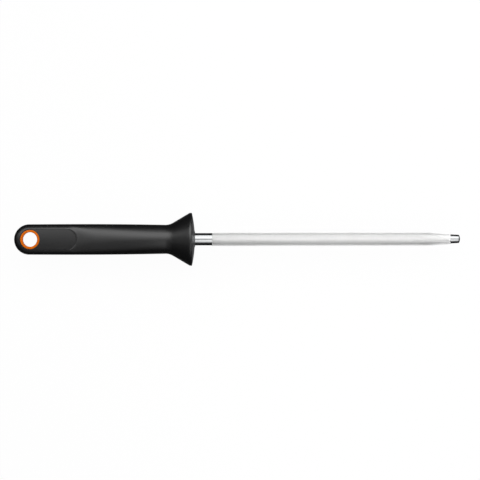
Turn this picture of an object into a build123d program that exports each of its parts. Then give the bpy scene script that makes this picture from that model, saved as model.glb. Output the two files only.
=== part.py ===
from build123d import *

import os
from math import cos, pi, sin

# A knife sharpening steel, in millimetres. The origin is the centre of the hanging hole, +X runs
# along the rod to its tip, +Z is the axis of the hanging hole, and the part is symmetric about
# the XY and XZ planes.

# Handle, outside
BUTT_CENTRE_X = -0.6          # centre of the rounded butt end
NECK_X = 102.2                # thinnest place, where the guard starts to flare
BUTT_HALF_HEIGHT = 11.45      # along Y
FULLEST_X = 40.0              # where the handle is highest
FULLEST_HALF_HEIGHT = 11.57
NECK_RADIUS = 10.91
BUTT_HALF_DEPTH = 7.1         # along Z
DEEPENS_FROM_X = 24.0         # the handle thickens from here to a round neck
BUTT_SQUARENESS = 0.68        # 0.5523 makes the section an ellipse
ROUND_SQUARENESS = 0.5523
SECTION_XS = [BUTT_CENTRE_X, 12.0, 26.0, 40.0, 55.0, 70.0, 86.0, NECK_X]

# Guard, a flared cone with a rounded rim and a domed front
FLARE_START_X = 108.3         # the concave neck runs into the straight cone here
FLARE_SLOPE = 0.594           # radius gained per length
FLARE_XS = [NECK_X, 104.2, 106.2, FLARE_START_X, 114.0, 120.0, 126.0]
RIM_RADIUS = 20.0
RIM_X = 121.2                 # where the rim starts to round over to the front
RIM_FRONT_RADIUS = 19.1
DOME_X = 124.4
DOME_RADIUS = 89.0
LIP_RADIUS = 5.9              # small raised lip around the rod
LIP_HEIGHT = 0.1              # beyond the middle of the dome
LIP_SLOPE = 0.2
LIP_ROOT = 1.0                # how deep the lip starts, inside the guard

# Grip shell over the handle core
GRIP_THICKNESS = 2.4
SEAM_RADIUS = 18.5            # where the grip ends on the guard's front
SEAM_DEPTH = 2.0
FLANGE_BEND_X = 109.5         # where the core's neck turns into its flange
FLANGE_BEND_RADIUS = 10.0
BEYOND_X = 130.0              # clear of the guard's front

# Gently crowned pad on each face, with the hanging hole at one end
PAD_Z = 6.35                  # along its middle
PAD_CROWN_RADIUS = 44.6       # it falls away to both sides
PAD_RADIUS = 7.9
PAD_LENGTH = 27.2             # between the centres of its two round ends

# Hanging eyelet
EYELET_BORE_RADIUS = 5.5
EYELET_RADIUS = 7.2
EYELET_MOUTH = 0.7            # each end of the bore widens by this much
EYELET_RIB_RADIUS = 8.3       # buried rib that locks the eyelet in the core
EYELET_RIB_WIDTH = 2.0

# Steel bar
TANG_START_X = 46.0
TANG_RADIUS = 3.8
TANG_CHAMFER = 0.8
TANG_GROOVE_RADIUS = 3.2
TANG_GROOVE_WIDTH = 3.0
TANG_GROOVE_XS = [54.0, 66.0, 78.0]
SHOULDER_X = 112.0            # the tang meets the full bar inside the guard
COLLAR_RADIUS = 4.65
GROOVED_START_X = 137.5
GROOVED_END_X = 298.1
GROOVED_RADIUS = 5.0
GROOVE_DEPTH = 0.45
GROOVE_COUNT = 54
RUN_IN = 0.8
RUN_IN_STEP = 0.15            # the grooves start this much above the collar
RUN_IN_GROOVE_DEPTH = 0.3
TAPER_STEPS = 4
TAPER_BULGE = 1.25            # over 1 makes the taper convex
TAPER_END_X = 317.2
TAPER_END_RADIUS = 3.79
TAPER_GROOVE_DEPTH = 0.24     # the grooves grow shallow towards the tip
TIP_RADIUS = 3.39
TIP_SHOULDER_X = 318.1
TIP_END_RADIUS = 3.13
NOSE_X = 323.2
NOSE_RADIUS = 2.3
NOSE_CROWN = 0.25
TIP_X = 324.5

X_AXIS = Axis((0, 0, 0), (1, 0, 0))
Z_AXIS = Axis((0, 0, 0), (0, 0, 1))


def smooth_step(x, start, end):
    """0 before start, 1 after end, and an S-curve between them."""
    share = min(max((x - start) / (end - start), 0.0), 1.0)
    return share * share * (3.0 - 2.0 * share)


def half_height(x):
    if x < FULLEST_X:
        lost = FULLEST_HALF_HEIGHT - BUTT_HALF_HEIGHT
        return FULLEST_HALF_HEIGHT - lost * ((FULLEST_X - x) / FULLEST_X) ** 2
    lost = FULLEST_HALF_HEIGHT - NECK_RADIUS
    return FULLEST_HALF_HEIGHT - lost * ((x - FULLEST_X) / (NECK_X - FULLEST_X)) ** 2


def half_depth(x):
    gained = NECK_RADIUS - BUTT_HALF_DEPTH
    return BUTT_HALF_DEPTH + gained * smooth_step(x, DEEPENS_FROM_X, NECK_X)


def squareness(x):
    change = ROUND_SQUARENESS - BUTT_SQUARENESS
    return BUTT_SQUARENESS + change * smooth_step(x, DEEPENS_FROM_X, NECK_X)


def flare_radius(x):
    """The guard's outside: a concave neck that runs into a straight cone."""
    bend = FLARE_START_X - NECK_X
    if x < FLARE_START_X:
        return NECK_RADIUS + FLARE_SLOPE * (x - NECK_X) ** 2 / (2.0 * bend)
    return NECK_RADIUS + FLARE_SLOPE * (x - NECK_X - bend / 2.0)


def quarter(x, reach_y, reach_z, pull):
    """One curved quarter of a section, from the Y axis to the Z axis."""
    return Bezier(
        (x, reach_y, 0),
        (x, reach_y, pull * reach_z),
        (x, pull * reach_y, reach_z),
        (x, 0, reach_z),
    )


def closed_section(x, reach_y, reach_z, pull):
    sides = [(1, 1), (-1, 1), (-1, -1), (1, -1)]
    return Face(Wire([quarter(x, y * reach_y, z * reach_z, pull) for y, z in sides]))


def handle_section(x, inset):
    """The handle's section at x, drawn in from the outside by the inset."""
    return closed_section(x, half_height(x) - inset, half_depth(x) - inset, squareness(x))


def round_section(x, radius):
    return closed_section(x, radius, radius, ROUND_SQUARENESS)


def butt_end(inset):
    """The rounded end: half of the first section, turned half a turn about a line along Z."""
    x = BUTT_CENTRE_X
    reach_y = half_height(x) - inset
    reach_z = half_depth(x) - inset
    outline = [
        quarter(x, reach_y, reach_z, squareness(x)),
        quarter(x, reach_y, -reach_z, squareness(x)),
        Line((x, 0, -reach_z), (x, 0, reach_z)),
    ]
    return revolve(Face(Wire(outline)), axis=Axis((x, 0, 0), (0, 0, 1)), revolution_arc=180)


def grip_body(inset):
    """The rounded butt and the handle up to the neck, drawn in from the outside by the inset."""
    return butt_end(inset) + loft([handle_section(x, inset) for x in SECTION_XS])


def dome_x(radius):
    """Where the guard's domed front is at a distance from the rod's axis."""
    return DOME_X - radius * radius / (2.0 * DOME_RADIUS)


def front_limit():
    """Everything behind the guard's domed front and inside its rounded rim."""
    behind_x = -2 * PAD_LENGTH
    rim_front = (dome_x(RIM_FRONT_RADIUS), RIM_FRONT_RADIUS)
    edges = [
        Line((behind_x, 0), (behind_x, RIM_RADIUS)),
        Line((behind_x, RIM_RADIUS), (RIM_X, RIM_RADIUS)),
        TangentArc((RIM_X, RIM_RADIUS), rim_front, tangent=(1, 0)),
        ThreePointArc(rim_front, (dome_x(RIM_RADIUS / 2), RIM_RADIUS / 2), (DOME_X, 0)),
        Line((DOME_X, 0), (behind_x, 0)),
    ]
    return revolve(Face(Wire(edges)), axis=X_AXIS)


def flange_region():
    """The space under the grip's flare: a neck, a cone, and a cylinder out through the front."""
    stations = [
        (NECK_X, NECK_RADIUS - GRIP_THICKNESS),
        (FLANGE_BEND_X, FLANGE_BEND_RADIUS),
        (dome_x(SEAM_RADIUS) - SEAM_DEPTH, SEAM_RADIUS),
        (BEYOND_X, SEAM_RADIUS),
    ]
    return loft([round_section(x, radius) for x, radius in stations], ruled=True)


def rod_lip():
    """The small raised lip on the guard's front, around the rod."""
    return turned([
        (DOME_X - LIP_ROOT, 0),
        (DOME_X - LIP_ROOT, LIP_RADIUS + LIP_SLOPE),
        (dome_x(LIP_RADIUS), LIP_RADIUS + LIP_SLOPE),
        (DOME_X + LIP_HEIGHT, LIP_RADIUS - LIP_SLOPE),
        (DOME_X + LIP_HEIGHT, 0),
    ])


def crown_region():
    """The space between the two crowned pad surfaces, all along the handle."""
    centre = PAD_CROWN_RADIUS - PAD_Z
    start = Plane.YZ.offset(-BEYOND_X)
    upper = start * Pos(0, -centre) * Circle(PAD_CROWN_RADIUS)
    lower = start * Pos(0, centre) * Circle(PAD_CROWN_RADIUS)
    return extrude(upper & lower, amount=2 * BEYOND_X)


def pad_prism():
    """The pads' pill-shaped outline, right through the handle. The hole is at one end's centre."""
    outline = SlotCenterToCenter(PAD_LENGTH, 2 * PAD_RADIUS)
    return extrude(Plane((PAD_LENGTH / 2, 0, -2 * PAD_Z)) * outline, amount=4 * PAD_Z)


def eyelet():
    """A sleeve with a locking rib round its middle. Its widening mouths run out past the pads."""
    top_z = PAD_Z + EYELET_MOUTH
    mouth_z = PAD_Z - EYELET_MOUTH
    half_rib = EYELET_RIB_WIDTH / 2
    upper = [
        (EYELET_RIB_RADIUS, half_rib),
        (EYELET_RADIUS, half_rib),
        (EYELET_RADIUS, top_z),
        (EYELET_BORE_RADIUS + top_z - mouth_z, top_z),
        (EYELET_BORE_RADIUS, mouth_z),
    ]
    lower = [(r, -z) for r, z in reversed(upper)]
    return revolve(Plane.XZ * Face(Wire.make_polygon(upper + lower)), axis=Z_AXIS)


def turned(points):
    """A solid of revolution about the rod's axis, from (x, radius) points."""
    return revolve(Face(Wire.make_polygon(points)), axis=X_AXIS)


def bar_back():
    """The tang with its retention grooves, the shoulder and the plain collar."""
    points = [(TANG_START_X, 0), (TANG_START_X, TANG_RADIUS - TANG_CHAMFER)]
    points.append((TANG_START_X + TANG_CHAMFER, TANG_RADIUS))
    for groove_x in TANG_GROOVE_XS:
        points.append((groove_x, TANG_RADIUS))
        points.append((groove_x, TANG_GROOVE_RADIUS))
        points.append((groove_x + TANG_GROOVE_WIDTH, TANG_GROOVE_RADIUS))
        points.append((groove_x + TANG_GROOVE_WIDTH, TANG_RADIUS))
    points.append((SHOULDER_X, TANG_RADIUS))
    points.append((SHOULDER_X, COLLAR_RADIUS))
    points.append((GROOVED_START_X, COLLAR_RADIUS))
    points.append((GROOVED_START_X, 0))
    return turned(points)


def taper_radius(share):
    """The crest radius along the taper, which bulges a little: 0 at its start and 1 at its end."""
    return GROOVED_RADIUS - (GROOVED_RADIUS - TAPER_END_RADIUS) * share**TAPER_BULGE


def star(x, crest, depth):
    """The grooved section: V-grooves all round, from the crest radius down by the depth."""
    corners = []
    for i in range(2 * GROOVE_COUNT):
        radius = crest - depth * (i % 2)
        angle = pi * i / GROOVE_COUNT
        corners.append((x, radius * cos(angle), radius * sin(angle)))
    return Face(Wire.make_polygon(corners))


def grooved_length():
    """The ribbed working length with its short run-in and its convex taper."""
    stations = [
        (GROOVED_START_X, COLLAR_RADIUS + RUN_IN_STEP, RUN_IN_GROOVE_DEPTH),
        (GROOVED_START_X + RUN_IN, GROOVED_RADIUS, GROOVE_DEPTH),
        (GROOVED_END_X, GROOVED_RADIUS, GROOVE_DEPTH),
    ]
    for i in range(1, TAPER_STEPS + 1):
        share = i / TAPER_STEPS
        x = GROOVED_END_X + (TAPER_END_X - GROOVED_END_X) * share
        depth = GROOVE_DEPTH + (TAPER_GROOVE_DEPTH - GROOVE_DEPTH) * share
        stations.append((x, taper_radius(share), depth))
    return loft([star(*station) for station in stations], ruled=True)


def tip():
    """The plain turned tip with a blunt nose."""
    points = [
        (TAPER_END_X, 0),
        (TAPER_END_X, TIP_RADIUS),
        (TIP_SHOULDER_X, TIP_RADIUS),
        (NOSE_X, TIP_END_RADIUS),
        (TIP_X - NOSE_CROWN, NOSE_RADIUS),
        (TIP_X, 0),
    ]
    return turned(points)


flare = loft([round_section(x, flare_radius(x)) for x in FLARE_XS])
outer = (grip_body(0) + flare) & front_limit()
under_grip = grip_body(GRIP_THICKNESS) + flange_region()
between_crowns = crown_region()
pads = pad_prism() & between_crowns
hole = extrude(Plane((0, 0, -2 * PAD_Z)) * Circle(EYELET_RADIUS), amount=4 * PAD_Z)

rod_back = bar_back()
honing_rod = rod_back + grooved_length() + tip()
hang_ring = eyelet() & between_crowns
handle_core = (outer & (under_grip + pads)) + rod_lip() - hole - hang_ring - rod_back
grip_shell = outer - under_grip - pad_prism()

os.makedirs("parts", exist_ok=True)
pieces = {
    "honing_rod": honing_rod,
    "handle_core": handle_core,
    "grip_shell": grip_shell,
    "hang_ring": hang_ring,
}
for name, piece in pieces.items():
    export_step(piece, f"parts/{name}.step")
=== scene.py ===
from math import atan2, cos, hypot, pi, radians, sin, tan

import bmesh
import bpy
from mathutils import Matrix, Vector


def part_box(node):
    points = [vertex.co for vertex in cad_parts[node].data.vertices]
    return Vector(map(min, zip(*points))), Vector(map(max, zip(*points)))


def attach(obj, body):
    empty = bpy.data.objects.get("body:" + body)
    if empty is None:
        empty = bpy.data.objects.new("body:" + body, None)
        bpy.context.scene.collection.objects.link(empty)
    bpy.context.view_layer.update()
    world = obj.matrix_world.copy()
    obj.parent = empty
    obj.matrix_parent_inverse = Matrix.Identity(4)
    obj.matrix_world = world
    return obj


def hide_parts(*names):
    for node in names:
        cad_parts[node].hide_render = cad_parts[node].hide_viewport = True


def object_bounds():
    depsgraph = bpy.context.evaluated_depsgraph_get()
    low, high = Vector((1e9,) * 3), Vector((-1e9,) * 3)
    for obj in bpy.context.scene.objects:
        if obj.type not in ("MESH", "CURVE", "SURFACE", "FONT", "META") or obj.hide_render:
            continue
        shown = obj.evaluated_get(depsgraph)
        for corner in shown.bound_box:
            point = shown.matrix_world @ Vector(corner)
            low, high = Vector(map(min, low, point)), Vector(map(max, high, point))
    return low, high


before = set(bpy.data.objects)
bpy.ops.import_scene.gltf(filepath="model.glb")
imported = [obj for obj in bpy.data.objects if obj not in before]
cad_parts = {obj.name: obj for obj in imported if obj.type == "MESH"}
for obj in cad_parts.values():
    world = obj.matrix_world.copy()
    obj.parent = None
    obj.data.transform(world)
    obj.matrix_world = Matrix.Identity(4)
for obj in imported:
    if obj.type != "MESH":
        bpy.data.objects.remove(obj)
cad_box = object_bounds()

# Shapes are worked out in millimetres in the frame of the CAD part: the origin is the centre of the
# hanging hole, +X runs along the rod to its tip and +Z is the axis of the hanging hole. The handle
# is drawn as half sections, from the +Y side over the top to the -Y side, and mirrored below.
MM = 0.001

# ---- sizes read from the CAD part ---------------------------------------------------------------
core_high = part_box("handle_core")[1] / MM
ring_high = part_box("hang_ring")[1] / MM
rod_low, rod_high = (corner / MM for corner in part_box("honing_rod"))
PAD_Z = ring_high.z
SEAM_RADIUS = core_high.y
EYELET_RIB_RADIUS = ring_high.y
TANG_START_X = rod_low.x
TIP_X = rod_high.x
GROOVED_RADIUS = rod_high.y

# ---- the handle: heights are along Y and depths along Z -----------------------------------------
BUTT_CENTRE_X = -0.6
BUTT_HALF_HEIGHT = 11.45
BUTT_HALF_DEPTH = 7.1
FULLEST_X = 40.0
FULLEST_HALF_HEIGHT = 11.57
DEEPENS_FROM_X = 24.0
NECK_X = 102.2                # the handle is round from here on
NECK_RADIUS = 10.91
BUTT_SQUARENESS = 0.68        # how far a section's corners are pushed out
ROUND_SQUARENESS = 0.5523     # this much makes an ellipse
GRIP_THICKNESS = 2.4

# ---- the guard ----------------------------------------------------------------------------------
FLARE_START_X = 108.3         # the curve from the neck becomes a cone here
FLARE_SLOPE = 0.594
RIM_RADIUS = 20.0
RIM_START_X = 120.0           # the cone starts to round over here
RIM_TOP_X = 121.8             # the rim is widest here
RIM_CORNER_X = 122.25
RIM_FRONT_RADIUS = 18.7
DOME_X = 124.4                # the middle of the domed front
DOME_RADIUS = 89.0
LIP_RADIUS = 5.9              # of the low lip round the rod
LIP_HEIGHT = 0.1              # beyond the middle of the dome
LIP_FOOT = 0.35               # the lip's side runs out over this much of the dome
LIP_EASE = 0.12
FLANGE_BEND_X = 109.5         # under the grip, the core's neck turns into its flange here
FLANGE_BEND_RADIUS = 10.0

# ---- the pads and the seams ---------------------------------------------------------------------
PAD_RADIUS = 7.9
PAD_LENGTH = 27.2             # from the hole's centre to the centre of the pad's round end
PAD_CROWN_RADIUS = 44.6       # the pads fall away to both sides
WINDOW_SLOPE = 0.22           # how steeply the grip rises from the pad's edge
WINDOW_ROUNDING = 1.7         # how softly that slope runs into the grip's face
WINDOW_EASE = 0.8             # the most rounding for each millimetre from the pad's edge
SEAM_GAP = 0.02               # between the grip's inside and the core
SEAM_ROUNDING = 0.12
SEAM_DEPTH = 2.0              # of the seam round the guard's front

# ---- the eyelet ---------------------------------------------------------------------------------
EYELET_BORE_RADIUS = 5.5
EYELET_RADIUS = 7.2
EYELET_LIP_ROUNDING = 0.7
EYELET_RIB_HALF_WIDTH = 1.0

# ---- the steel bar ------------------------------------------------------------------------------
TANG_RADIUS = 3.8
TANG_CHAMFER = 0.8
TANG_GROOVE_RADIUS = 3.2
TANG_GROOVE_WIDTH = 3.0
TANG_GROOVE_XS = (54.0, 66.0, 78.0)
SHOULDER_X = 112.0            # between the tang and the collar
COLLAR_RADIUS = 4.65
GROOVED_START_X = 137.5
GROOVED_END_X = 298.1
GROOVE_COUNT = 54
GROOVE_DEPTH = 0.45
# One groove, from the middle of one crest to the next: (place along it, share of the depth)
GROOVE_SHAPE = ((0.0, 0.0), (0.11, 0.04), (0.40, 0.94), (0.5, 1.0), (0.60, 0.94), (0.89, 0.04))
RUN_IN = 0.8                  # the grooved length reaches its full radius over this much
RUN_IN_RADIUS = COLLAR_RADIUS + 0.15
RUN_IN_GROOVE_DEPTH = 0.3
TAPER_END_X = 317.2
TAPER_END_RADIUS = 3.79
TAPER_GROOVE_DEPTH = 0.24
TAPER_BOW = 1.25              # 1 would make the taper's side straight
TIP_RADIUS = 3.39
TIP_SHOULDER_X = 318.1
TIP_END_RADIUS = 3.13
NOSE_X = 323.2
NOSE_RADIUS = 1.7
NOSE_CROWN = 0.3

# ---- how finely things are divided --------------------------------------------------------------
HALF_SECTION_STEPS = 64
BUTT_STEPS = 64
STRAIGHT_STEPS = 26           # along each straight side of the pad
CORNER_STEPS = 14             # from the pad's end to the plain handle, on each side
RAY_STEPS = 22                # from the pad's edge out to the handle's side
RAY_SPREAD = 1.3              # over 1, a ray's points are closer together near the pad
JOIN_X = 54.0                 # the plain handle starts here, clear of the slope round the pad
HANDLE_STEP = 1.5             # along the plain handle
NECK_STEPS = 12
CONE_STEPS = 12
RIM_BACK_STEPS = 6
RIM_FRONT_STEPS = 10
RIM_FACE_STEPS = 3
INNER_NECK_STEPS = 3
FLANGE_STEPS = 6
PAD_FACE_STEPS = 14
DOME_STEPS = 16
LIP_FOOT_STEPS = 6
LIP_TOP_STEPS = 4
RING_STEPS = 128              # round the eyelet
MOUTH_STEPS = 8
RUN_IN_STEPS = 4
GROOVED_STEPS = 32
TAPER_STEPS = 12
NOSE_EDGE_STEPS = 8
NOSE_FACE_STEPS = 6
HALVINGS = 40                 # in the search for a place on a section
JOIN_DISTANCE = 2e-6          # metres
SHARP_ANGLE = radians(32)


# ---- small shape helpers ------------------------------------------------------------------------
def mix(a, b, share):
    return a + (b - a) * share


def spaced(start, end, steps):
    """Evenly spaced values from start to end, both included."""
    return [mix(start, end, i / steps) for i in range(steps + 1)]


def smooth_step(value, start, end):
    share = min(max((value - start) / (end - start), 0.0), 1.0)
    return share * share * (3.0 - 2.0 * share)


def soft_min(a, b, softness):
    """The lower of two heights, rounded where they are within softness of each other."""
    if softness <= 0.0:
        return min(a, b)
    share = max(softness - abs(a - b), 0.0) / softness
    return min(a, b) - share * share * softness / 4.0


def straight_line(start, end, steps):
    return [(mix(start[0], end[0], s), mix(start[1], end[1], s)) for s in spaced(0.0, 1.0, steps)]


def rounded_corner(start, corner, end, steps):
    """A smooth curve from start to end that leaves and arrives along the lines to the corner."""
    points = []
    for s in spaced(0.0, 1.0, steps):
        a, b, c = (1 - s) ** 2, 2 * s * (1 - s), s * s
        points.append(tuple(a * start[k] + b * corner[k] + c * end[k] for k in range(2)))
    return points


# ---- the handle's surfaces ----------------------------------------------------------------------
def half_height(x):
    if x < FULLEST_X:
        lost = FULLEST_HALF_HEIGHT - BUTT_HALF_HEIGHT
        return FULLEST_HALF_HEIGHT - lost * ((FULLEST_X - x) / FULLEST_X) ** 2
    lost = FULLEST_HALF_HEIGHT - NECK_RADIUS
    return FULLEST_HALF_HEIGHT - lost * ((x - FULLEST_X) / (NECK_X - FULLEST_X)) ** 2


def half_depth(x):
    return mix(BUTT_HALF_DEPTH, NECK_RADIUS, smooth_step(x, DEEPENS_FROM_X, NECK_X))


def squareness(x):
    return mix(BUTT_SQUARENESS, ROUND_SQUARENESS, smooth_step(x, DEEPENS_FROM_X, NECK_X))


def flare_radius(x):
    bend = FLARE_START_X - NECK_X
    if x < FLARE_START_X:
        return NECK_RADIUS + FLARE_SLOPE * (x - NECK_X) ** 2 / (2.0 * bend)
    return NECK_RADIUS + FLARE_SLOPE * (x - NECK_X - bend / 2.0)


def dome_x(radius):
    return DOME_X - radius * radius / (2.0 * DOME_RADIUS)


def curve_share(t, pull):
    """Across and up, as shares of a quarter section's reach: t is 0 at its side and 1 at its top."""
    s = 1.0 - t
    across = s**3 + 3 * s * s * t + 3 * s * t * t * pull
    up = 3 * s * s * t * pull + 3 * s * t * t + t**3
    return across, up


def t_across(share, pull):
    """The t at which a quarter section is this share of its reach from the middle."""
    low, high = 0.0, 1.0
    for _ in range(HALVINGS):
        middle = (low + high) / 2
        if curve_share(middle, pull)[0] > share:
            low = middle
        else:
            high = middle
    return (low + high) / 2


def section_point(x, t, reach_y, reach_z, pull):
    """A point of the upper half section: t is 0 at +Y, 1 on top and 2 at -Y."""
    side = 1.0 if t <= 1.0 else -1.0
    across, up = curve_share(t if t <= 1.0 else 2.0 - t, pull)
    return (x, side * across * reach_y, up * reach_z)


def handle_point(x, t, inset):
    return section_point(x, t, half_height(x) - inset, half_depth(x) - inset, squareness(x))


def butt_point(angle, t, inset):
    """A point of the rounded butt: angle runs about the hole's axis, from +Y through -X to -Y."""
    reach_y = half_height(BUTT_CENTRE_X) - inset
    reach_z = half_depth(BUTT_CENTRE_X) - inset
    across, up = curve_share(t, BUTT_SQUARENESS)
    radius = across * reach_y
    return (BUTT_CENTRE_X + radius * cos(angle), radius * sin(angle), up * reach_z)


def outer_z(x, y):
    """The height of the handle's outside above a place, seen from above."""
    if x < BUTT_CENTRE_X:
        share = hypot(x - BUTT_CENTRE_X, y) / half_height(BUTT_CENTRE_X)
        x = BUTT_CENTRE_X
    else:
        share = abs(y) / half_height(x)
    t = t_across(min(share, 1.0), squareness(x))
    return curve_share(t, squareness(x))[1] * half_depth(x)


def crown_z(y):
    """The height of the pad's crowned face."""
    return PAD_Z - y * y / (2 * PAD_CROWN_RADIUS)


def pad_face_z(x, y):
    return min(crown_z(y), outer_z(x, y))


def beyond_pad(x, y):
    """How far a place is outside the pad's outline, seen from above."""
    nearest_x = min(max(x, 0.0), PAD_LENGTH)
    return hypot(x - nearest_x, y) - PAD_RADIUS


def press_window(point):
    """Lowers a point of the grip's face to the slope that rises from the pad's edge."""
    x, y, z = point
    outside = max(beyond_pad(x, y), 0.0)
    edge_y = min(max(y, -PAD_RADIUS), PAD_RADIUS)
    slope_z = crown_z(edge_y) + outside * WINDOW_SLOPE
    return (x, y, soft_min(z, slope_z, min(WINDOW_ROUNDING, WINDOW_EASE * outside)))


# ---- mesh building ------------------------------------------------------------------------------
class Skin:
    """Collects strips of quads, which make_piece joins where their points meet."""

    def __init__(self):
        self.points = []
        self.faces = []
        self.materials = []

    def strip(self, rows, closed=False, material=0):
        """Quads between rows of equally many points. Closed rows come round to their start."""
        start = len(self.points)
        count = len(rows[0])
        for row in rows:
            self.points.extend(row)
        for i in range(len(rows) - 1):
            for j in range(count if closed else count - 1):
                a = start + i * count + j
                b = start + i * count + (j + 1) % count
                self.faces.append((a, b, b + count, a + count))
                self.materials.append(material)

    def mirrored(self, rows, closed=False):
        """A strip above the XY plane and the same one below it."""
        self.strip(rows, closed)
        self.strip([[(x, y, -z) for x, y, z in row] for row in rows], closed)


def make_piece(name, skin, materials, node):
    """Turns a skin into a closed mesh that rides on the part and stands for its CAD node."""
    mesh = bpy.data.meshes.new(name)
    mesh.from_pydata([(x * MM, y * MM, z * MM) for x, y, z in skin.points], [], skin.faces)
    for material in materials:
        mesh.materials.append(material)
    mesh.polygons.foreach_set("material_index", skin.materials)
    shape = bmesh.new()
    shape.from_mesh(mesh)
    bmesh.ops.remove_doubles(shape, verts=shape.verts, dist=JOIN_DISTANCE)
    bmesh.ops.recalc_face_normals(shape, faces=shape.faces)
    shape.to_mesh(mesh)
    shape.free()
    mesh.shade_smooth()
    mesh.set_sharp_from_angle(angle=SHARP_ANGLE)
    piece = bpy.data.objects.new(name, mesh)
    bpy.context.scene.collection.objects.link(piece)
    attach(piece, "root")
    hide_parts(node)
    return piece


# ---- rows of points on the handle ---------------------------------------------------------------
def pad_outline(radius):
    """Places round the pad's outline, from its +Y side over the butt and back along +Y."""
    places = []
    for angle in spaced(pi / 2, 3 * pi / 2, BUTT_STEPS)[:-1]:
        places.append((radius * cos(angle), radius * sin(angle)))
    for x in spaced(0.0, PAD_LENGTH, STRAIGHT_STEPS)[:-1]:
        places.append((x, -radius))
    end_steps = 2 * CORNER_STEPS + HALF_SECTION_STEPS
    for angle in spaced(-pi / 2, pi / 2, end_steps)[:-1]:
        places.append((PAD_LENGTH + radius * cos(angle), radius * sin(angle)))
    for x in spaced(PAD_LENGTH, 0.0, STRAIGHT_STEPS)[:-1]:
        places.append((x, radius))
    return places


def ray_targets():
    """Where each ray from the pad's outline ends, as ("butt", angle) or ("body", x, t)."""
    targets = [("butt", angle) for angle in spaced(pi / 2, 3 * pi / 2, BUTT_STEPS)[:-1]]
    targets += [("body", x, 2.0) for x in spaced(BUTT_CENTRE_X, PAD_LENGTH, STRAIGHT_STEPS)[:-1]]
    targets += [("body", x, 2.0) for x in spaced(PAD_LENGTH, JOIN_X, CORNER_STEPS)[:-1]]
    targets += [("body", JOIN_X, t) for t in spaced(2.0, 0.0, HALF_SECTION_STEPS)[:-1]]
    targets += [("body", x, 0.0) for x in spaced(JOIN_X, PAD_LENGTH, CORNER_STEPS)[:-1]]
    targets += [("body", x, 0.0) for x in spaced(PAD_LENGTH, BUTT_CENTRE_X, STRAIGHT_STEPS)[:-1]]
    return targets


RAY_SHARES = [(i / RAY_STEPS) ** RAY_SPREAD for i in range(RAY_STEPS + 1)]


def butt_ray(place, angle_out, inset):
    """Points over the butt, from a place on the pad's outline to the handle's side."""
    x, y = place
    angle_in = atan2(y, x - BUTT_CENTRE_X) % (2 * pi)
    reach = half_height(BUTT_CENTRE_X) - inset
    t_in = t_across(hypot(x - BUTT_CENTRE_X, y) / reach, BUTT_SQUARENESS)
    return [butt_point(mix(angle_in, angle_out, s), t_in * (1 - s), inset) for s in RAY_SHARES]


def body_ray(place, x_out, t_out, inset):
    """Points over the handle, from a place on the pad's outline to the section point x_out, t_out."""
    x, y = place
    reach = half_height(x) - inset
    t_in = t_across(min(abs(y) / reach, 1.0), squareness(x))
    if y < 0:
        t_in = 2.0 - t_in
    return [handle_point(mix(x, x_out, s), mix(t_in, t_out, s), inset) for s in RAY_SHARES]


def around_pad(inset):
    """Rays of points from the pad's outline out to the handle's sides and to the plain handle."""
    rays = []
    for place, (part, *end) in zip(pad_outline(PAD_RADIUS), ray_targets()):
        ray = butt_ray if part == "butt" else body_ray
        rays.append(ray(place, *end, inset))
    return rays


def rows_from_rays(rays):
    return [list(row) for row in zip(*rays)]


def half_row(x, reach_y, reach_z, pull):
    steps = spaced(0.0, 2.0, HALF_SECTION_STEPS)
    return [section_point(x, t, reach_y, reach_z, pull) for t in steps]


def round_half_row(x, radius):
    return half_row(x, radius, radius, ROUND_SQUARENESS)


def handle_rows(inset):
    """Half rows along the plain handle, from the pad's surroundings to the neck."""
    steps = round((NECK_X - JOIN_X) / HANDLE_STEP)
    rows = []
    for x in spaced(JOIN_X, NECK_X, steps):
        rows.append(half_row(x, half_height(x) - inset, half_depth(x) - inset, squareness(x)))
    return rows


def pad_row(places, lowered=0.0):
    """Points on the pad's face above these places, or a little below it."""
    return [(x, y, pad_face_z(x, y) - lowered) for x, y in places]


def between_rows(inner, outer, share):
    return [tuple(mix(a, b, share) for a, b in zip(p, q)) for p, q in zip(inner, outer)]


def inner_front_profile(gap):
    """(x, radius) under the grip's flare, from the neck to the seam."""
    seam_x = dome_x(SEAM_RADIUS)
    neck = (NECK_X, NECK_RADIUS - GRIP_THICKNESS - gap)
    bend = (FLANGE_BEND_X, FLANGE_BEND_RADIUS - gap)
    seam_back = (seam_x - SEAM_DEPTH, SEAM_RADIUS - gap)
    profile = straight_line(neck, bend, INNER_NECK_STEPS)
    profile += straight_line(bend, seam_back, FLANGE_STEPS)[1:]
    profile.append((seam_x - SEAM_ROUNDING, SEAM_RADIUS - gap))
    return profile


# ---- the grip -----------------------------------------------------------------------------------
def grip_front_profile():
    """(x, radius) along the guard's outside: neck, cone, rounded rim, and in to the seam."""
    cone_end = (RIM_START_X, flare_radius(RIM_START_X))
    cone_corner = (RIM_START_X + (RIM_RADIUS - cone_end[1]) / FLARE_SLOPE, RIM_RADIUS)
    rim_top = (RIM_TOP_X, RIM_RADIUS)
    rim_front = (dome_x(RIM_FRONT_RADIUS), RIM_FRONT_RADIUS)
    seam_edge = SEAM_RADIUS + SEAM_ROUNDING
    profile = [(x, flare_radius(x)) for x in spaced(NECK_X, FLARE_START_X, NECK_STEPS)]
    profile += [(x, flare_radius(x)) for x in spaced(FLARE_START_X, RIM_START_X, CONE_STEPS)[1:]]
    profile += rounded_corner(cone_end, cone_corner, rim_top, RIM_BACK_STEPS)[1:]
    profile += rounded_corner(rim_top, (RIM_CORNER_X, RIM_RADIUS), rim_front, RIM_FRONT_STEPS)[1:]
    profile += [(dome_x(r), r) for r in spaced(RIM_FRONT_RADIUS, seam_edge, RIM_FACE_STEPS)[1:]]
    profile.append((dome_x(SEAM_RADIUS) - SEAM_ROUNDING, SEAM_RADIUS))
    return profile


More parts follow.
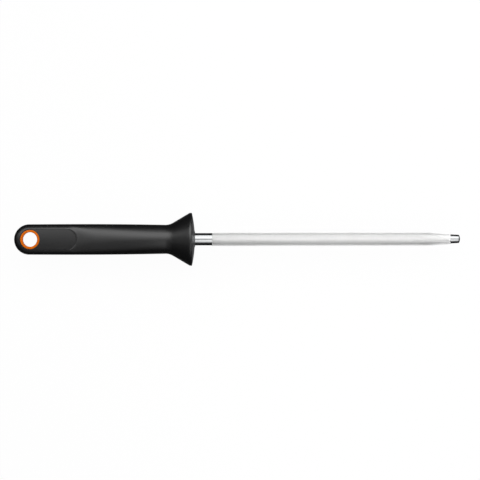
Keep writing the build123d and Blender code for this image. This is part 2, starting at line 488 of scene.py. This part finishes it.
def make_grip(material):
    """The outer moulding: a shell from the butt to the rim, with a window for the pad each side."""
    outside = [[press_window(point) for point in ray] for ray in around_pad(0.0)]
    face_rows = rows_from_rays(outside)
    face_rows[0] = pad_row(pad_outline(PAD_RADIUS + SEAM_ROUNDING))
    inner_rows = rows_from_rays(around_pad(GRIP_THICKNESS))
    edge = pad_row(pad_outline(PAD_RADIUS), SEAM_ROUNDING)
    skin = Skin()
    skin.mirrored([edge] + face_rows, closed=True)
    skin.mirrored([edge] + inner_rows, closed=True)
    skin.mirrored(handle_rows(0.0))
    skin.mirrored([round_half_row(x, r) for x, r in grip_front_profile()])
    skin.mirrored(handle_rows(GRIP_THICKNESS))
    skin.mirrored([round_half_row(x, r) for x, r in inner_front_profile(0.0)])
    return make_piece("grip", skin, [material], "grip_shell")


# ---- the core -----------------------------------------------------------------------------------
def pad_face_rows(hole, pad_edge):
    """The pad's face, from the eyelet's seat out to the pad's edge, with both edges eased."""
    ways_out = [(x / hypot(x, y), y / hypot(x, y)) for x, y in pad_outline(PAD_RADIUS)]
    seat = [(hole * x, hole * y) for x, y in ways_out]
    inner = [((hole + SEAM_ROUNDING) * x, (hole + SEAM_ROUNDING) * y) for x, y in ways_out]
    outer = pad_outline(pad_edge - SEAM_ROUNDING)
    rows = [[(x, y, 0.0) for x, y in seat], pad_row(seat, SEAM_ROUNDING)]
    rows += [pad_row(between_rows(inner, outer, s)) for s in spaced(0.0, 1.0, PAD_FACE_STEPS)]
    rows.append(pad_row(pad_outline(pad_edge), SEAM_ROUNDING))
    return rows


def core_front_profile():
    """(x, radius) from the core's neck over its flange, dome and lip into the rod's bore."""
    seam_edge = SEAM_RADIUS - SEAM_GAP - SEAM_ROUNDING
    lip_x = DOME_X + LIP_HEIGHT
    lip_foot = (dome_x(LIP_RADIUS + LIP_FOOT), LIP_RADIUS + LIP_FOOT)
    lip_side = (lip_x - LIP_EASE, LIP_RADIUS)
    lip_top = (lip_x, LIP_RADIUS - LIP_EASE)
    bore = COLLAR_RADIUS + SEAM_GAP
    tang = TANG_RADIUS + SEAM_GAP
    tang_end_x = TANG_START_X - SEAM_GAP
    profile = inner_front_profile(SEAM_GAP)
    profile += [(dome_x(r), r) for r in spaced(seam_edge, lip_foot[1], DOME_STEPS)]
    profile += rounded_corner(lip_foot, (dome_x(LIP_RADIUS), LIP_RADIUS), lip_side, LIP_FOOT_STEPS)[1:]
    profile += rounded_corner(lip_side, (lip_x, LIP_RADIUS), lip_top, LIP_TOP_STEPS)[1:]
    profile += [(lip_x, bore + LIP_EASE), (lip_x - LIP_EASE, bore), (SHOULDER_X, bore)]
    profile += [(SHOULDER_X, tang), (tang_end_x, tang), (tang_end_x, 0.0)]
    return profile


def make_core(material):
    """The inner moulding: the pads, the guard's front, and seats for the eyelet and the tang."""
    face = pad_face_rows(EYELET_RADIUS + SEAM_GAP, PAD_RADIUS - SEAM_GAP)
    inside = rows_from_rays(around_pad(GRIP_THICKNESS + SEAM_GAP))
    skin = Skin()
    skin.mirrored(face + inside, closed=True)
    skin.mirrored(handle_rows(GRIP_THICKNESS + SEAM_GAP))
    skin.mirrored([round_half_row(x, r) for x, r in core_front_profile()])
    return make_piece("core", skin, [material], "handle_core")


# ---- the eyelet ---------------------------------------------------------------------------------
def hole_row(radius, z):
    """Points round the hanging hole's axis."""
    turn = 2 * pi / RING_STEPS
    return [(radius * cos(turn * i), radius * sin(turn * i), z) for i in range(RING_STEPS)]


def on_crown(point):
    """Lowers a point of the sleeve's mouth with the pad's crown, so that it is flush all round."""
    x, y, z = point
    return (x, y, z - PAD_Z + crown_z(y)) if z > PAD_Z / 2 else point


def eyelet_profile():
    """(radius, z) from the middle of the bore over the rounded mouth to the middle of the rib."""
    profile = [(EYELET_BORE_RADIUS, 0.0), (EYELET_BORE_RADIUS, PAD_Z / 2)]
    for angle in spaced(0.0, pi / 2, MOUTH_STEPS):
        radius = EYELET_BORE_RADIUS + EYELET_LIP_ROUNDING * (1 - cos(angle))
        profile.append((radius, PAD_Z - EYELET_LIP_ROUNDING * (1 - sin(angle))))
    profile += [(EYELET_RADIUS - SEAM_ROUNDING, PAD_Z), (EYELET_RADIUS, PAD_Z - SEAM_ROUNDING)]
    profile.append((EYELET_RADIUS, EYELET_RIB_HALF_WIDTH))
    profile += [(EYELET_RIB_RADIUS, EYELET_RIB_HALF_WIDTH), (EYELET_RIB_RADIUS, 0.0)]
    return profile


def make_eyelet(material):
    """A sleeve with rounded mouths and a hidden locking rib."""
    skin = Skin()
    rows = [[on_crown(point) for point in hole_row(r, z)] for r, z in eyelet_profile()]
    skin.mirrored(rows, closed=True)
    return make_piece("eyelet", skin, [material], "hang_ring")


# ---- the steel bar ------------------------------------------------------------------------------
def bar_row(x, radius, depth=0.0):
    """Points round the bar: plain if depth is 0, and otherwise the grooved section."""
    row = []
    for groove in range(GROOVE_COUNT):
        for place, share in GROOVE_SHAPE:
            angle = 2 * pi * (groove + place) / GROOVE_COUNT
            r = radius - depth * share
            row.append((x, r * cos(angle), r * sin(angle)))
    return row


def tang_profile():
    profile = [(TANG_START_X, 0.0), (TANG_START_X, TANG_RADIUS - TANG_CHAMFER)]
    profile.append((TANG_START_X + TANG_CHAMFER, TANG_RADIUS))
    for groove_x in TANG_GROOVE_XS:
        groove_end_x = groove_x + TANG_GROOVE_WIDTH
        profile += [(groove_x, TANG_RADIUS), (groove_x, TANG_GROOVE_RADIUS)]
        profile += [(groove_end_x, TANG_GROOVE_RADIUS), (groove_end_x, TANG_RADIUS)]
    profile += [(SHOULDER_X, TANG_RADIUS), (SHOULDER_X, COLLAR_RADIUS)]
    return profile


def taper_radius(share):
    return GROOVED_RADIUS - (GROOVED_RADIUS - TAPER_END_RADIUS) * share**TAPER_BOW


def grooved_rows():
    """The grooved length: a short run in, the straight length and the taper."""
    rows = [bar_row(GROOVED_START_X, RUN_IN_RADIUS, RUN_IN_GROOVE_DEPTH)]
    for x in spaced(0.0, RUN_IN, RUN_IN_STEPS)[1:]:
        share = sin(pi / 2 * x / RUN_IN)
        radius = mix(RUN_IN_RADIUS, GROOVED_RADIUS, share)
        depth = mix(RUN_IN_GROOVE_DEPTH, GROOVE_DEPTH, share)
        rows.append(bar_row(GROOVED_START_X + x, radius, depth))
    for x in spaced(GROOVED_START_X + RUN_IN, GROOVED_END_X, GROOVED_STEPS)[1:]:
        rows.append(bar_row(x, GROOVED_RADIUS, GROOVE_DEPTH))
    for share in spaced(0.0, 1.0, TAPER_STEPS)[1:]:
        x = mix(GROOVED_END_X, TAPER_END_X, share)
        rows.append(bar_row(x, taper_radius(share), mix(GROOVE_DEPTH, TAPER_GROOVE_DEPTH, share)))
    return rows


def tip_profile():
    """(x, radius) of the plain turned tip, with its rounded edge and slightly crowned nose."""
    crown_x = TIP_X - NOSE_CROWN
    nose_start = (NOSE_X, TIP_END_RADIUS)
    nose_corner = (crown_x - NOSE_CROWN, TIP_END_RADIUS)
    profile = [(TAPER_END_X, TIP_RADIUS), (TIP_SHOULDER_X, TIP_RADIUS), nose_start]
    profile += rounded_corner(nose_start, nose_corner, (crown_x, NOSE_RADIUS), NOSE_EDGE_STEPS)[1:]
    for r in spaced(NOSE_RADIUS, 0.0, NOSE_FACE_STEPS)[1:]:
        profile.append((TIP_X - NOSE_CROWN * (r / NOSE_RADIUS) ** 2, r))
    return profile


def make_rod(polished, satin):
    """One bar: tang, polished collar, satin grooved length and polished tip."""
    finishes = [polished, satin]
    collar_xs = (SHOULDER_X, DOME_X, GROOVED_START_X)
    collar_end = bar_row(GROOVED_START_X, COLLAR_RADIUS)
    tip_start = bar_row(TAPER_END_X, TIP_RADIUS)
    grooved = [collar_end] + grooved_rows() + [tip_start]
    skin = Skin()
    skin.strip([bar_row(x, r) for x, r in tang_profile()], closed=True)
    skin.strip([bar_row(x, COLLAR_RADIUS) for x in collar_xs], closed=True)
    skin.strip(grooved, closed=True, material=finishes.index(satin))
    skin.strip([bar_row(x, r) for x, r in tip_profile()], closed=True)
    return make_piece("rod", skin, finishes, "honing_rod")


# ---- materials ----------------------------------------------------------------------------------
PLASTIC_IOR = 1.5


def new_material(name):
    material = bpy.data.materials.new(name)
    material.use_nodes = True
    return material, material.node_tree, material.node_tree.nodes["Principled BSDF"]


def set_values(node, **values):
    """Sets a node's own sockets. A space in a socket's name is written as an underscore."""
    for name, value in values.items():
        node.inputs[name.replace("_", " ")].default_value = value


def add_node(tree, kind, **values):
    node = tree.nodes.new(kind)
    set_values(node, **values)
    return node


def noise(tree, scale, detail, stretch=(1.0, 1.0, 1.0)):
    """Noise in the part's own coordinates, in waves per metre."""
    place = tree.nodes.new("ShaderNodeTexCoord")
    mapping = add_node(tree, "ShaderNodeMapping", Scale=stretch)
    tree.links.new(place.outputs["Object"], mapping.inputs["Vector"])
    texture = add_node(tree, "ShaderNodeTexNoise", Scale=scale, Detail=detail)
    tree.links.new(mapping.outputs["Vector"], texture.inputs["Vector"])
    return texture.outputs["Fac"]


def coloured(tree, shader, pattern, dark, light):
    """Base colour between dark and light, as the pattern goes from 0 to 1."""
    node = tree.nodes.new("ShaderNodeMix")
    node.data_type = "RGBA"
    set_values(node, A=(*dark, 1.0), B=(*light, 1.0))
    tree.links.new(pattern, node.inputs["Factor"])
    tree.links.new(node.outputs["Result"], shader.inputs["Base Color"])


def roughened(tree, shader, pattern, low, high):
    """Roughness between low and high, as the pattern goes from 0 to 1."""
    node = add_node(tree, "ShaderNodeMapRange", To_Min=low, To_Max=high)
    tree.links.new(pattern, node.inputs["Value"])
    tree.links.new(node.outputs["Result"], shader.inputs["Roughness"])


def bumped(tree, shader, pattern, strength, height):
    """Bumps of the pattern, up to a height in metres."""
    node = add_node(tree, "ShaderNodeBump", Strength=strength, Distance=height)
    tree.links.new(pattern, node.inputs["Height"])
    tree.links.new(node.outputs["Normal"], shader.inputs["Normal"])


def black_plastic(name, dark, light, roughness, grain, bump, gloss, sheen):
    """Moulded plastic with a fine spark-eroded texture and slight handling marks."""
    material, tree, shader = new_material(name)
    marks = noise(tree, scale=60, detail=4)
    fine = noise(tree, scale=grain, detail=2)
    coloured(tree, shader, marks, dark, light)
    roughened(tree, shader, marks, *roughness)
    bumped(tree, shader, fine, strength=bump, height=0.00005)
    set_values(shader, IOR=PLASTIC_IOR, Specular_IOR_Level=gloss)
    set_values(shader, Sheen_Weight=sheen, Sheen_Roughness=0.4)
    return material


def orange_plastic():
    material, tree, shader = new_material("orange_plastic")
    marks = noise(tree, scale=200, detail=3)
    fine = noise(tree, scale=2500, detail=2)
    coloured(tree, shader, marks, dark=(0.60, 0.120, 0.002), light=(0.66, 0.142, 0.003))
    roughened(tree, shader, marks, low=0.34, high=0.46)
    bumped(tree, shader, fine, strength=0.15, height=0.00003)
    set_values(shader, IOR=PLASTIC_IOR, Specular_IOR_Level=0.05)
    return material


def polished_chrome():
    """Turned and polished, with faint rings round the bar."""
    material, tree, shader = new_material("polished_chrome")
    rings = noise(tree, scale=1, detail=3, stretch=(9000, 90, 90))
    marks = noise(tree, scale=300, detail=3)
    coloured(tree, shader, marks, dark=(0.40, 0.407, 0.412), light=(0.44, 0.446, 0.451))
    roughened(tree, shader, rings, low=0.07, high=0.16)
    bumped(tree, shader, rings, strength=0.06, height=0.00002)
    set_values(shader, Metallic=1.0)
    return material


def satin_chrome():
    """The grooved length: hard chrome over drawn steel, with fine marks along the bar."""
    material, tree, shader = new_material("satin_chrome")
    streaks = noise(tree, scale=1, detail=4, stretch=(140, 6000, 6000))
    marks = noise(tree, scale=500, detail=3)
    coloured(tree, shader, marks, dark=(0.77, 0.77, 0.77), light=(0.83, 0.83, 0.825))
    roughened(tree, shader, streaks, low=0.32, high=0.46)
    bumped(tree, shader, streaks, strength=0.10, height=0.00003)
    set_values(shader, Metallic=1.0)
    return material


# ---- floor, light and camera, in metres ---------------------------------------------------------
FLOOR_HALF_WIDTH = 60.0
FLOOR_GAP = 0.0001            # below the part
BACKDROP_GLOW = 0.98
VIEW_WIDTH = 0.3623           # of what the camera sees at the part
CAMERA_XY = (0.15845, -0.00060)
CAMERA_TURN = radians(-0.08)
LENS = 380.0                  # millimetres, as the sensor is
SENSOR_WIDTH = 36.0
CLIP_END = 100.0

PANEL_DISTANCE = 1.3
CARD_DISTANCE = 0.30
ALONG_PART = (-1.15, 1.46)
BEHIND_BUTT = (-4.8, -1.15)
BEYOND_TIP = (1.46, 4.8)
ALONG_ROD = (0.116, 0.41)
# A bright soft box on the +Y side goes on past both ends, with a weaker panel overhead and a dim
# fill on the -Y side. White cards stand close round the rod alone.
# Each panel: name, its two edges in degrees from straight up towards +Y, its reach on X, its
# distance from the rod's axis, and its radiance
PANELS = (
    ("key", (17, 59), ALONG_PART, PANEL_DISTANCE, 2.3),
    ("key_butt", (25, 60), BEHIND_BUTT, PANEL_DISTANCE, 1.0),
    ("key_tip", (15, 60), BEYOND_TIP, PANEL_DISTANCE, 1.3),
    ("over", (0, 17), ALONG_PART, PANEL_DISTANCE, 0.95),
    ("fill", (-75, -15), ALONG_PART, PANEL_DISTANCE, 0.11),
    ("fill_butt", (-32, 2), BEHIND_BUTT, PANEL_DISTANCE, 0.30),
    ("fill_tip", (-60, 2), BEYOND_TIP, PANEL_DISTANCE, 0.5),
    ("card_over", (-3, 15), ALONG_ROD, CARD_DISTANCE, 0.4),
    ("card_far", (-48, -9), ALONG_ROD, CARD_DISTANCE, 1.65),
    ("card_low", (-70, -48), ALONG_ROD, CARD_DISTANCE, 0.45),
    ("card_near", (60, 80), ALONG_ROD, CARD_DISTANCE, 1.7),
)


def make_camera():
    """Straight down on the part from far away, as wide as the whole object and its margins."""
    data = bpy.data.cameras.new("camera")
    data.lens = LENS
    data.sensor_width = SENSOR_WIDTH
    data.clip_end = CLIP_END
    camera = bpy.data.objects.new("camera", data)
    camera.location = (*CAMERA_XY, VIEW_WIDTH * LENS / SENSOR_WIDTH)
    camera.rotation_euler = (0.0, 0.0, CAMERA_TURN)
    bpy.context.scene.collection.objects.link(camera)
    bpy.context.scene.camera = camera


def make_floor():
    """A large pale table that glows a little, as a lit sheet of white acrylic does."""
    half = FLOOR_HALF_WIDTH
    z = cad_box[0].z - FLOOR_GAP
    mesh = bpy.data.meshes.new("floor")
    corners = [(-half, -half, z), (half, -half, z), (half, half, z), (-half, half, z)]
    mesh.from_pydata(corners, [], [(0, 1, 2, 3)])
    floor = bpy.data.objects.new("floor", mesh)
    bpy.context.scene.collection.objects.link(floor)
    material, _, shader = new_material("pale_floor")
    set_values(shader, Base_Color=(0.03, 0.03, 0.03, 1.0), Roughness=0.9, Specular_IOR_Level=0.0)
    set_values(shader, Emission_Color=(1.0, 1.0, 1.0, 1.0), Emission_Strength=0.965)
    mesh.materials.append(material)
    floor.visible_glossy = False


def sky_ramp(tree, height, reach, glow):
    """Light that goes smoothly from one glow to another between two heights of the sky."""
    ramp = tree.nodes.new("ShaderNodeMapRange")
    ramp.interpolation_type = "SMOOTHSTEP"
    set_values(ramp, From_Min=reach[0], From_Max=reach[1], To_Min=glow[0], To_Max=glow[1])
    tree.links.new(height, ramp.inputs["Value"])
    return ramp.outputs["Result"]


def make_world():
    """Dim surroundings that darken to the horizon, the glow of the table below, and a pale
    backdrop behind the object."""
    world = bpy.data.worlds.new("studio")
    bpy.context.scene.world = world
    world.use_nodes = True
    tree = world.node_tree
    place = tree.nodes.new("ShaderNodeTexCoord")
    parts = tree.nodes.new("ShaderNodeSeparateXYZ")
    tree.links.new(place.outputs["Generated"], parts.inputs["Vector"])
    above = sky_ramp(tree, parts.outputs["Z"], reach=(0.0, 0.9), glow=(0.02, 0.15))
    below = sky_ramp(tree, parts.outputs["Z"], reach=(-0.80, -1.0), glow=(0.0, 0.20))
    total = tree.nodes.new("ShaderNodeMath")
    total.operation = "ADD"
    tree.links.new(above, total.inputs[0])
    tree.links.new(below, total.inputs[1])
    rays = tree.nodes.new("ShaderNodeLightPath")
    pick = add_node(tree, "ShaderNodeMix", B=BACKDROP_GLOW)
    tree.links.new(total.outputs["Value"], pick.inputs["A"])
    tree.links.new(rays.outputs["Is Camera Ray"], pick.inputs["Factor"])
    background = tree.nodes["Background"]
    background.inputs["Color"].default_value = (1.0, 1.0, 1.0, 1.0)
    tree.links.new(pick.outputs["Result"], background.inputs["Strength"])


def add_panel(name, angles, reach, distance, radiance):
    """A soft light panel that runs along the part and faces its axis."""
    middle_x = (reach[0] + reach[1]) / 2
    middle = radians((angles[0] + angles[1]) / 2)
    width = 2 * distance * tan(radians((angles[1] - angles[0]) / 2))
    light = bpy.data.lights.new(name, "AREA")
    light.shape = "RECTANGLE"
    light.size = reach[1] - reach[0]
    light.size_y = width
    light.energy = radiance * pi * light.size * width
    panel = bpy.data.objects.new(name, light)
    panel.location = (middle_x, distance * sin(middle), distance * cos(middle))
    panel.rotation_euler = (-middle, 0.0, 0.0)
    panel.visible_camera = False
    bpy.context.scene.collection.objects.link(panel)


make_camera()
make_floor()
make_world()
for panel in PANELS:
    add_panel(*panel)
bpy.context.scene.view_settings.view_transform = "Standard"

grip_plastic = black_plastic(
    "grip_plastic", dark=(0.0014, 0.0014, 0.0016), light=(0.0026, 0.0026, 0.0030),
    roughness=(0.33, 0.41), grain=2600, bump=0.25, gloss=0.74, sheen=0.0,
)
core_plastic = black_plastic(
    "core_plastic", dark=(0.0020, 0.0020, 0.0023), light=(0.0034, 0.0034, 0.0038),
    roughness=(0.40, 0.50), grain=3800, bump=0.35, gloss=0.52, sheen=0.07,
)
make_grip(grip_plastic)
make_core(core_plastic)
make_eyelet(orange_plastic())
make_rod(polished_chrome(), satin_chrome())
